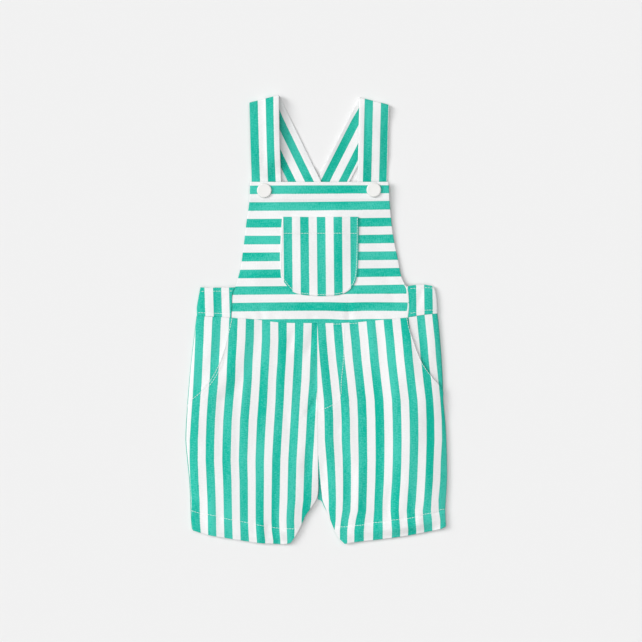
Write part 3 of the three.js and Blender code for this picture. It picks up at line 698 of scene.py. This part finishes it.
# Hip panels
# The side pieces that show above the slash pockets. They run on under the leg panel as the pocket's backing and
# are joined to the back in the side seam.
POCKET_LAP = 14
HIP_INSET = 0.6
LOW_LEFT = -92
LOW_RIGHT = -78
BAND_BOTTOM_LEFT = [(-125.9, 3.9), (-108.0, 2.9), (-89.8, 1.8)]
BAND_BOTTOM_RIGHT = [(96.4, 2.2), (113.9, 5.0), (127.1, 6.2)]
CREASES_HIP = [
    (-101.5, -34, 50, 16, -0.175, 7), (-110, -20, 40, 12, 0.315, 6), (-118, -58, 34, 30, -0.28, 5),
    (108, -14, 30, -14, -0.28, 5), (119, -30, 44, -4, 0.28, 6), (124, -52, 30, -20, -0.28, 4),
]


def hip_top(x, y):
    """Height of the hip panels' upper face, with its own small creases."""
    return front_lower(x, y) + FRONT_CLOTH + creased(x, y, CREASES_HIP)


lap_left = shifted(LEFT_SLASH, POCKET_LAP)[:-1]
lap_right = shifted(RIGHT_SLASH, -POCKET_LAP)[:-1]
hip_top_left = [*shifted(BAND_BOTTOM_LEFT, 0, -SEAM_GAP), (lap_left[0][0], 0.4)]
hip_top_right = [(lap_right[0][0], 0.3), *shifted(BAND_BOTTOM_RIGHT, 0, -SEAM_GAP)]
hip_panel_left = panel("hip_panel_left", (48, 92), hip_top, CLOTH, leg_stripes, run_down, [
    hip_top_left,
    [(x_at(LEFT_SIDE, LOW_LEFT) + HIP_INSET, LOW_LEFT), (-124, -89), lap_left[-1]],
    shifted(between(LEFT_SIDE, hip_top_left[0][1], LOW_LEFT), HIP_INSET),
    [hip_top_left[-1], *lap_left[1:]],
], ("top",))
hip_panel_right = panel("hip_panel_right", (44, 82), hip_top, CLOTH, leg_stripes, run_down, [
    hip_top_right,
    [lap_right[-1], (122, -74), (x_at(RIGHT_SIDE, LOW_RIGHT) - HIP_INSET, LOW_RIGHT)],
    [hip_top_right[0], *lap_right[1:]],
    shifted(between(RIGHT_SIDE, hip_top_right[-1][1], LOW_RIGHT), -HIP_INSET),
], ("top",))
laid(hip_panel_left)
laid(hip_panel_right)

# Back panels and back waistband
# The back of the shorts and the band above it lie flat on the table. Their edges turn up a little to the side
# seams. Only a narrow strip past the left side seam and the corner between the legs show, so they are plain.
BACK_TOP = 0.5
BAND_TOP = 33.4
BACK_CLOTH = 1.2
BACK_HEM_INSET = 0.8
BACK_STEP = 2.2
BACK_RIM_LIFT = 0.9
BACK_RIM_WIDTH = 8
# The y below which the two backs part
CROTCH_Y = -186
CROTCH_LIFT = 0.7
HALF_SEAM = SEAM_GAP / 2
CREASES_BACK = [
    (-84, -70, 120, 7, 0.4, 9), (-38, -118, 90, -4, 0.3, 7), (-104, -158, 60, 3, 0.25, 6),
    (-60, -196, 44, -8, 0.35, 8), (-20, -46, 50, 16, 0.3, 6), (44, -64, 110, -9, 0.4, 8),
    (90, -112, 90, 4, 0.35, 10), (34, -152, 54, -12, 0.3, 6), (70, -192, 46, 10, 0.35, 7),
    (104, -40, 44, -14, 0.25, 6), (-70, 16, 26, 12, 0.25, 6), (58, 18, 24, -10, 0.25, 5),
]


def back_top(x, y):
    """Height of the back's upper face: flat on the table but for its creases, and turned up at the side seams."""
    side = from_side(x, y)
    inseam = np.where(y > CROTCH_Y, side, from_inseam(x, y))
    near = 1 - np.clip(np.minimum(side, inseam) / BACK_RIM_WIDTH, 0, 1)
    crotch = CROTCH_LIFT * np.exp(-(((x - 2) / 9) ** 2)) * ease(-y, 125, 150)
    folds = creased(x, y, CREASES_BACK) * ease(side, 6, 20)
    return BACK_CLOTH + (BACK_RIM_LIFT * (side < BACK_RIM_WIDTH) + seam_lift(x, y)) * near**2 + crotch + folds


def back_stripes(x, y):
    """Back stripes: straight by the centre seam, and along the left side seam parallel to it, where the edge of a
    green one shows past the front."""
    lean = (x_at(LEFT_SIDE, y) - min(LEFT_SIDE)[0]) * ease(-x, 40, 125)
    return (x - lean - min(LEFT_SIDE)[0] + 0.6) / STRIPE_PERIOD


inseam_left = [
    *[(CENTRE - HALF_SEAM, y) for y in (BACK_TOP, -95, -170)], (CENTRE - 2 * HALF_SEAM, -182),
    *LEFT_INSEAM[7:-1], *shifted(LEFT_HEM[-1:], 0, BACK_HEM_INSET),
]
inseam_right = [
    *[(CENTRE + HALF_SEAM, y) for y in (BACK_TOP, -95, -170)], (CENTRE + 2 * HALF_SEAM, -184),
    (0.8, -188.8), (5, -190.9), (8, -197.2), (11.4, -203),
    *RIGHT_INSEAM[8:-1], *shifted(RIGHT_HEM[-1:], 0, BACK_HEM_INSET),
]
back_leg_left = panel("back_leg_left", LEG_SIZE, back_top, BACK_CLOTH, back_stripes, run_down, [
    [(x_at(LEFT_SIDE, BACK_TOP), BACK_TOP), (-60, BACK_TOP), (CENTRE - HALF_SEAM, BACK_TOP)],
    shifted(LEFT_HEM, 0, BACK_HEM_INSET),
    between(LEFT_SIDE, BACK_TOP, LEFT_HEM[0][1] + BACK_HEM_INSET),
    inseam_left,
], step=BACK_STEP)
back_leg_right = panel("back_leg_right", LEG_SIZE, back_top, BACK_CLOTH, back_stripes, run_down, [
    [(CENTRE + HALF_SEAM, BACK_TOP), (60, BACK_TOP), (x_at(RIGHT_SIDE, BACK_TOP), BACK_TOP)],
    shifted(RIGHT_HEM[::-1], 0, BACK_HEM_INSET),
    inseam_right,
    between(RIGHT_SIDE, BACK_TOP, RIGHT_HEM[0][1] + BACK_HEM_INSET),
], step=BACK_STEP)
band_low = BACK_TOP + SEAM_GAP
back_waistband = panel("back_waistband", (250, 33), back_top, BACK_CLOTH, back_stripes, run_down, [
    *[[(x_at(LEFT_SIDE, y), y), (CENTRE, y), (x_at(RIGHT_SIDE, y), y)] for y in (BAND_TOP, band_low)],
    between(LEFT_SIDE, BAND_TOP, band_low),
    between(RIGHT_SIDE, BAND_TOP, band_low),
], step=BACK_STEP)
laid(back_leg_left)
laid(back_leg_right)
laid(back_waistband)

# Front waistband pieces
# Two short bands of doubled cloth, one each side of the bib, with their stripes a little out of step with the legs.
BAND_CLOTH = 1.7
BAND_RAISED = 1.9
BAND_ROW_IN = 3.2
BAND_ROW_DIP = 0.3
BAND_TOP_LEFT = [(-121.9, 33.6), (-105.0, 33.0), (-85.7, 33.6)]
BAND_TOP_RIGHT = [(95.7, 34.4), (103.4, 36.0), (112.9, 36.4), (122.6, 34.9)]
BIB_SIDE_GAP = 0.08
BIB_LEFT = [
    (-69.6, 144.3), (-70.6, 122.6), (-73.2, 104.7), (-77.5, 69.6), (-80.3, 51.7), (-85.3, 34.2),
    (-88.1, 27.5), (-88.8, 17.1), (-89.4, 1.5),
]
BIB_RIGHT = [
    (75.7, 144.3), (76.8, 123.1), (79.2, 97.9), (81.8, 81.1), (85.5, 63.3), (89.1, 45.4), (93, 36.6),
    (94.7, 34), (96.1, 30), (97.1, 13.9), (95.9, 1.8),
]
BAND_ROWS_LEFT = [[(-121.0, 29.3), (-88.4, 29.7)], [(-124.2, 7.0), (-108.6, 6.4), (-90.2, 5.8)]]
BAND_ROWS_RIGHT = [[(98.2, 32.2), (116.6, 33.2), (122.4, 32.6)], [(98.4, 6.2), (116.6, 9.7), (126.2, 9.2)]]
CREASES_BAND = [
    (-100, 16, 22, 20, -0.3, 4), (-113, 12, 26, -12, 0.25, 5), (108, 21, 20, 16, -0.45, 3),
    (117, 18, 24, -8, 0.3, 4),
]


def band_top(x, y):
    """Height of the front waistband's upper face, dipping at its two rows of stitches."""
    top, bottom = np.where(x < CENTRE, 33.4, 35.6), np.where(x < CENTRE, 3.0, 4.4)
    rows = np.exp(-((top - y - BAND_ROW_IN) ** 2)) + np.exp(-((y - bottom - BAND_ROW_IN) ** 2))
    return front_lower(x, y) + BAND_RAISED + creased(x, y, CREASES_BAND) - BAND_ROW_DIP * rows


def band_stripes(x, y):
    """Stripes of the two bands: each has its own start."""
    left = (x + 124.8 + 0.03 * (y - 20)) / 16.8 + 0.06 * (1 - ease(x, -120, -112))
    return np.where(x < CENTRE, left, (x - 96.1 + 0.01 * (y - 20)) / 17.2)


waistband_left = panel("waistband_left", (36, 30), band_top, BAND_CLOTH, band_stripes, run_down, [
    BAND_TOP_LEFT,
    BAND_BOTTOM_LEFT,
    between(LEFT_SIDE, BAND_TOP_LEFT[0][1], BAND_BOTTOM_LEFT[0][1]),
    shifted(between(BIB_LEFT, BAND_TOP_LEFT[-1][1], BAND_BOTTOM_LEFT[-1][1]), -BIB_SIDE_GAP),
], ("bottom", "right"))
waistband_right = panel("waistband_right", (28, 30), band_top, BAND_CLOTH, band_stripes, run_down, [
    BAND_TOP_RIGHT,
    BAND_BOTTOM_RIGHT,
    shifted(between(BIB_RIGHT, BAND_TOP_RIGHT[0][1], BAND_BOTTOM_RIGHT[0][1]), BIB_SIDE_GAP),
    between(RIGHT_SIDE, BAND_TOP_RIGHT[-1][1], BAND_BOTTOM_RIGHT[-1][1]),
], ("bottom", "left"))
stitches_left = stitched("waistband_left_stitches", BAND_ROWS_LEFT, band_top)
stitches_right = stitched("waistband_right_stitches", BAND_ROWS_RIGHT, band_top)
laid(waistband_left)
laid(waistband_right)

# Bib
# One panel cut with the stripes running across, its top turned over in a hem and its sides folded under.
BIB_SIZE = (165, 147)
# The y between which the top hem's cloth begins
BIB_HEM = (123.3, 126.3)
# Below this y a strip this wide down the right side is coloured white
BIB_FOLD_Y = 42
BIB_FOLD_WIDTH = 1.5
BIB_EDGE = [(-4, 4.4), (15, 4.0), (34, 3.6), (50, 2.0), (70, 1.7), (105, 2.6), (121, 3.5), (145, 4.0)]
BIB_MIDDLE = [(-4, 4.5), (15, 4.4), (34, 4.3), (50, 4.3), (70, 4.3), (105, 4.3), (121, 4.2), (145, 4.1)]
# The upper edge of each green stripe from the top down, by x: at the left, in the middle and at the right
BIB_STRIPES_X = (-75, 4, 74)
BIB_STRIPES = [
    (139.9, 140.2, 140.3), (122.6, 123, 124), (105.1, 105.4, 106.4), (87.5, 87.6, 88.8), (69.8, 70.3, 71.1),
    (51.8, 52.6, 53.5), (34.3, 34.9, 35.9), (17.1, 17.8, 17.6), (-0.5, 0.1, 0),
]
BIB_STEP = 17.2
CREASES_BIB = [
    (34, 8, 24, 4, -0.5, 3.5), (-58, 6, 20, -14, -0.45, 4), (-20, 12, 40, 84, -0.25, 4), (60, 14, 34, 78, -0.25, 4),
    (-42, 92, 56, 4, 0.65, 13), (-62, 48, 40, 6, 0.3, 8), (66, 70, 60, -8, -0.3, 8), (22, 88, 64, -3, 0.9, 13),
    (10, 60, 90, 0, 0.3, 8), (-22, 98, 20, 6, 0.25, 5), (10, 118, 60, 88, -0.2, 5), (78, 30, 40, -14, -0.3, 5),
    (-30, 132, 30, 60, 0.2, 6), (36, 130, 30, -50, 0.2, 6),
]


def bib_top(x, y):
    """Height of the bib's upper face: crowned across, raised in the top hem, with its creases."""
    middle = (x_at(BIB_LEFT, y) + x_at(BIB_RIGHT, y)) / 2
    half = (x_at(BIB_RIGHT, y) - x_at(BIB_LEFT, y)) / 2
    out = np.clip((x - middle) / half, -1, 1)
    edge = eased(BIB_EDGE, y)
    crown = edge + (eased(BIB_MIDDLE, y) - edge) * (1 - out * out)
    hem = 0.8 * ease(y, *BIB_HEM)
    waist = 0.12 * (np.sin(x / 3.3) + np.sin(x / 2.1 + 0.7)) * np.exp(-(((y + 1) / 7) ** 2))
    return crown + FRONT_CLOTH + hem + creased(x, y, CREASES_BIB) + waist


def bib_cloth(x, y):
    """One layer, doubled in the top hem."""
    return CLOTH + 0.9 * ease(y, *BIB_HEM)


def bib_stripes(x, y):
    """Stripe number down the bib: read from the three columns, blended by a parabola across."""
    columns = []
    for rows in np.array(BIB_STRIPES).T:
        edge = [rows[0] + BIB_STEP, *rows, rows[-1] - BIB_STEP]
        columns.append(np.interp(y, edge[::-1], np.arange(len(rows), -2, -1)))
    number = 0
    for here, column in zip(BIB_STRIPES_X, columns):
        number = number + column * np.prod([(x - at) / (here - at) for at in BIB_STRIPES_X if at != here], axis=0)
    number -= 0.045 * np.exp(-(((x - 31) / 13) ** 2)) * (1 - ease(y, 8, 30))
    folded = (x_at(BIB_RIGHT, y) - x < BIB_FOLD_WIDTH) & (y < BIB_FOLD_Y)
    return np.where(folded, np.floor(number) + 0.75, number)


bib = panel("bib", BIB_SIZE, bib_top, bib_cloth, bib_stripes, lambda x, y: x, [
    [BIB_LEFT[0], (0, 144.1), BIB_RIGHT[0]],
    [BIB_LEFT[-1], (-65.0, -0.1), (-38.3, -3.3), (1.6, -3.9), (37.3, -3.3), (70.9, -0.4), BIB_RIGHT[-1]],
    BIB_LEFT,
    BIB_RIGHT,
], ("bottom",))
laid(bib)

# Bib pocket
# A patch pocket with round lower corners and the stripes running down, hemmed along its open top and sewn on
# round the other three sides.
POCKET_CLOTH = 1.0
POCKET_HEM_CLOTH = 0.5
POCKET_HEM_Y = 90.3
POCKET_TOP = [(-36.2, 107.4), (4.0, 107.2), (44.0, 107.4)]
POCKET_LEFT = [(-36.2, 107.4), (-37.7, 83.2), (-38.4, 64.3), (-37.3, 44.4)]
POCKET_RIGHT = [(44.0, 107.4), (44.2, 89.5), (43.7, 63.3), (42.5, 46.9)]
POCKET_BOTTOM = [
    (-37.3, 44.4), (-33.8, 38.7), (-25.8, 29.7), (-20.8, 27.1), (-7.9, 25), (10, 24.5), (27.2, 26.5),
    (35.2, 31.5), (40.6, 39.1), (42.5, 46.9),
]
POCKET_MIDDLE = (3.3, 75.0)
STITCHES_IN = 1.6
CREASES_POCKET = [(-10, 66, 60, 4, 0.2, 9), (16, 60, 50, -6, -0.2, 7), (30, 84, 34, -12, 0.2, 6)]


def pocket_top(x, y):
    """Height of the pocket's upper face: the bib's, moved out, with a dip along its hem stitches."""
    dip = 0.3 * np.exp(-(((y - POCKET_HEM_Y) / 1.2) ** 2))
    return bib_top(x, y) + SEAM_GAP + pocket_cloth(x, y) - dip + creased(x, y, CREASES_POCKET)


def pocket_cloth(x, y):
    """One layer, thicker in the top hem."""
    return POCKET_CLOTH + POCKET_HEM_CLOTH * ease(y, POCKET_HEM_Y - 2, POCKET_HEM_Y)


def pocket_stripes(x, y):
    """Stripes of the pocket, the first just inside its left edge."""
    return (x + 34.4 - 0.0095 * (99 - y)) / STRIPE_PERIOD


bib_pocket = panel(
    "bib_pocket", (82, 82), pocket_top, pocket_cloth, pocket_stripes, run_down,
    [POCKET_TOP, POCKET_BOTTOM, POCKET_LEFT, POCKET_RIGHT],
)
pocket_sides = np.array([*POCKET_LEFT[:-1], *POCKET_BOTTOM, *POCKET_RIGHT[-2::-1]])
inwards = np.array(POCKET_MIDDLE) - pocket_sides
pocket_row = pocket_sides + inwards / np.linalg.norm(inwards, axis=1)[:, None] * STITCHES_IN
hem_y = POCKET_HEM_Y - 0.2
hem_row = [(POCKET_TOP[0][0], hem_y), (POCKET_TOP[1][0], hem_y), (POCKET_TOP[2][0] - 1.1, hem_y)]
stitches = stitched("pocket_stitches", [pocket_row.tolist(), hem_row], pocket_top)
laid(bib_pocket)

# Shoulder straps
# Each is one flat tube of doubled cloth from the back waistband, crossed behind the bib, over a soft shoulder fold
# and down under the bib's top corner. The fold line halves the angle between the front and the back run.
STRAP_WIDTH = 31.5
STRAP_CLOTH = 1.6
STRAP_PERIOD = 17.2
FOLD_RADIUS = 1.9
# How much lower the edge across from a raised one lies
EDGE_LOWERED = 1.1
# The straps' greens are a darker copy of the legs' greens: painted shade on the straps
SHADED_STRAP_GREEN_DEEP = (0.0, 0.386, 0.276, 1)
SHADED_STRAP_GREEN_PALE = (0.044, 0.494, 0.386, 1)
STRAPS = {
    "strap_left": {
        "fold": (-54.8, 231.6), "side": 1, "front_lean": 1.6, "back_lean": 25.9, "front": 112, "back": 233,
        "first_green": 0.3, "back_green": -1.2, "edge_curl": 3.6, "edge_fall": 0.0, "sway": 0.6,
        "front_heights": [(0, 4.6), (20, 5.7), (48, 5.5), (74, 3.0), (78, 2.7), (112, 2.1)],
        "back_heights": [(0, 0.8), (75, 0.8), (89, 2.8), (190, 2.8), (206, 2.6), (240, 2.6)],
        "front_creases": [(-44, 208, 40, 3, 0.5, 5), (-46, 156, 18, 10, -0.7, 5), (-60, 186, 50, 2, 0.3, 6)],
        "back_creases": [(-14, 172, 40, -26, 0.3, 4), (-27, 192, 40, -26, 0.25, 4)],
        "run": 900,
    },
    "strap_right": {
        "fold": (60.6, 229.4), "side": -1, "front_lean": 1.3, "back_lean": 27.0, "front": 110, "back": 233,
        "first_green": 5.9, "back_green": -1.9, "edge_curl": 0.0, "edge_fall": 2.6, "sway": 0.0,
        "front_heights": [(0, 4.6), (46, 4.6), (71, 2.9), (75, 2.7), (112, 2.1)],
        "back_heights": [(0, 0.8), (190, 0.8), (209, 2.6), (240, 2.6)],
        "front_creases": [(52, 200, 54, 0, -0.6, 3), (66, 178, 40, -3, 0.3, 5), (58, 156, 20, -8, -0.4, 5)],
        "back_creases": [(26.7, 198, 84, 27, 0.6, 3), (33, 160, 26, 22, -0.7, 5), (32, 186, 30, 26, -0.4, 4)],
        "run": 1300,
    },
}


def strap(
    name, fold, side, front_lean, back_lean, front, back, first_green, back_green, edge_curl, edge_fall, sway,
    front_heights, back_heights, front_creases, back_creases, run,
):
    """A band folded over a half round. q is the distance past the fold line, measured square to it. Before the
    fold the band runs level in front, within a quarter turn either side it follows the half round, and past it
    it runs level behind. Points across the band keep their place along the fold line. The front run's right edge
    stands up by edge_curl or falls by edge_fall, and swings in by sway."""
    half_lean = math.radians((back_lean - front_lean) / 2)
    fold_lean = math.radians((back_lean + front_lean) / 2) * side
    along = np.array([math.cos(fold_lean), math.sin(fold_lean)])
    outward = np.array([-math.sin(fold_lean), math.cos(fold_lean)])
    start = np.array(fold) - outward * (FOLD_RADIUS + STRAP_CLOTH / 2)
    quarter = math.pi / 2 * FOLD_RADIUS
    skew = -half_lean * side
    across = spaced(STRAP_WIDTH, MESH_STEP)
    q = np.concatenate([
        -front + front * spaced(front - quarter, MESH_STEP)[:-4] * (front - quarter) / front,
        np.linspace(-quarter, quarter, 14),
        quarter + (back - quarter) * spaced(back - quarter, MESH_STEP)[4:],
    ])[:, None]
    t = ((0.5 - across) * STRAP_WIDTH)[None]
    s = (q - t * math.sin(skew)) / math.cos(skew)
    place = t * math.cos(skew) - s * math.sin(skew)
    place = place - sway * ease(t, -6, 15) * np.sin(np.pi * np.clip(-q / 100, 0, 1))
    turn = np.clip(q / FOLD_RADIUS + math.pi / 2, 0, math.pi)
    reach = FOLD_RADIUS * np.sin(turn) - np.maximum(np.abs(q) - quarter, 0)
    x, y = np.moveaxis(start + place[..., None] * along + (reach + 0 * t)[..., None] * outward, -1, 0)
    curl = edge_curl * ease(t, -4, 11)
    low = EDGE_LOWERED * (edge_curl > 0) * (1 - ease(t, -16, -8)) * ease(-q, 4, 20)
    z_front = eased(front_heights, np.maximum(-q - quarter, 0)) + curl * ease(q, -82, -66) - low
    z_front = z_front + creased(x, y, front_creases) * ease(-q, 3, 12)
    z_back = eased(back_heights, np.maximum(q - quarter, 0)) + creased(x, y, back_creases) * ease(q, 5, 14)
    z_fold = (front_heights[0][1] + back_heights[0][1]) / 2 + FOLD_RADIUS * np.cos(turn)
    z_fold = z_fold + curl * (1 + np.cos(turn)) / 2
    z = np.where(q < -quarter, z_front, np.where(q > quarter, z_back, z_fold))
    z = np.maximum(z - edge_fall * ease(t, -9, 15) * ease(-q, -3, 24), STRAP_CLOTH / 2 + 0.02)
    edge = np.minimum(np.minimum(across, 1 - across)[None] * STRAP_WIDTH, np.minimum(q + front, back - q))
    half = STRAP_CLOTH / 2 * np.sqrt(1 - (1 - np.clip(edge / EDGE_ROLL, 0, 1)) ** 2)

    def face(out):
        flat = start + place[..., None] * along + (reach + out * half * np.sin(turn))[..., None] * outward
        return np.dstack([flat, z + out * half * np.cos(turn)])[:, ::-1]

    stripe = (STRAP_WIDTH / 2 + t - first_green - back_green * ease(q, -4, 30)) / STRAP_PERIOD
    stripe += 0.06 * ease(t, 5, 14)
    return cloth_mesh(name + "_cloth", face(1), face(-1), stripe[:, ::-1], (s + 0 * t + run)[:, ::-1], shaded_strap_twill)


# The straps' twill, with the darker greens of painted shade
shaded_strap_twill = striped_twill("shaded_strap_twill", SHADED_STRAP_GREEN_DEEP, SHADED_STRAP_GREEN_PALE)
for name, sizes in STRAPS.items():
    laid(strap(name, **sizes))

# Buttons
# Smooth ivory discs with a rounded rim and a shallow dished face, one at each top corner of the bib.
IVORY_COLOURS = ((0.735, 0.73, 0.71, 1), (0.78, 0.775, 0.755, 1))
BUTTON_PLACES = {"button_left": BUTTON_LEFT, "button_right": (60.0, 135.6)}
# Profile from the middle of the under face round the rim to the middle of the upper face: radius, height
BUTTON_PROFILE = [
    (0, 0), (4.5, 0), (6.3, 0.1), (7.2, 0.35), (7.6, 0.75), (7.65, 1.05), (7.5, 1.45), (7.15, 1.7), (6.6, 1.82),
    (6, 1.84), (5.2, 1.77), (4, 1.72), (0, 1.7),
]
BUTTON_SIDES = 96


def lathe(profile, sides):
    """A closed profile turned about the upright axis, its two ends closed at a point."""
    rings = np.array(profile[1:-1])
    turn = np.linspace(0, 2 * np.pi, sides, endpoint=False)
    ring = np.stack([np.cos(turn), np.sin(turn)], -1)
    points = np.concatenate([rings[:, None, :1] * ring, np.repeat(rings[:, None, 1:], sides, 1)], -1).reshape(-1, 3)
    points = np.vstack([points, [0, 0, profile[0][1]], [0, 0, profile[-1][1]]])
    grid = np.arange(len(rings) * sides).reshape(len(rings), sides)
    after = np.roll(grid, -1, 1)
    quads = np.stack([grid[:-1], after[:-1], after[1:], grid[1:]], -1).reshape(-1, 4).tolist()
    bottom, top = len(points) - 2, len(points) - 1
    quads += [[bottom, b, a] for a, b in zip(grid[0], after[0])]
    quads += [[top, a, b] for a, b in zip(grid[-1], after[-1])]
    return points, quads


ivory = mottled("ivory_button", IVORY_COLOURS, 180, 4, 0.32)
ivory.node_tree.nodes["Principled BSDF"].inputs["Coat Weight"].default_value = 0.2
for name, place in BUTTON_PLACES.items():
    points, faces = lathe(BUTTON_PROFILE, BUTTON_SIDES)
    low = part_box(name)[0][2] / MM
    button = placed(name + "_disc", points + [*place, low], faces, ivory)
    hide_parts(name)

sizes = {"cad": [list(corner) for corner in cad_box], "visual": [list(corner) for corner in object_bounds()]}
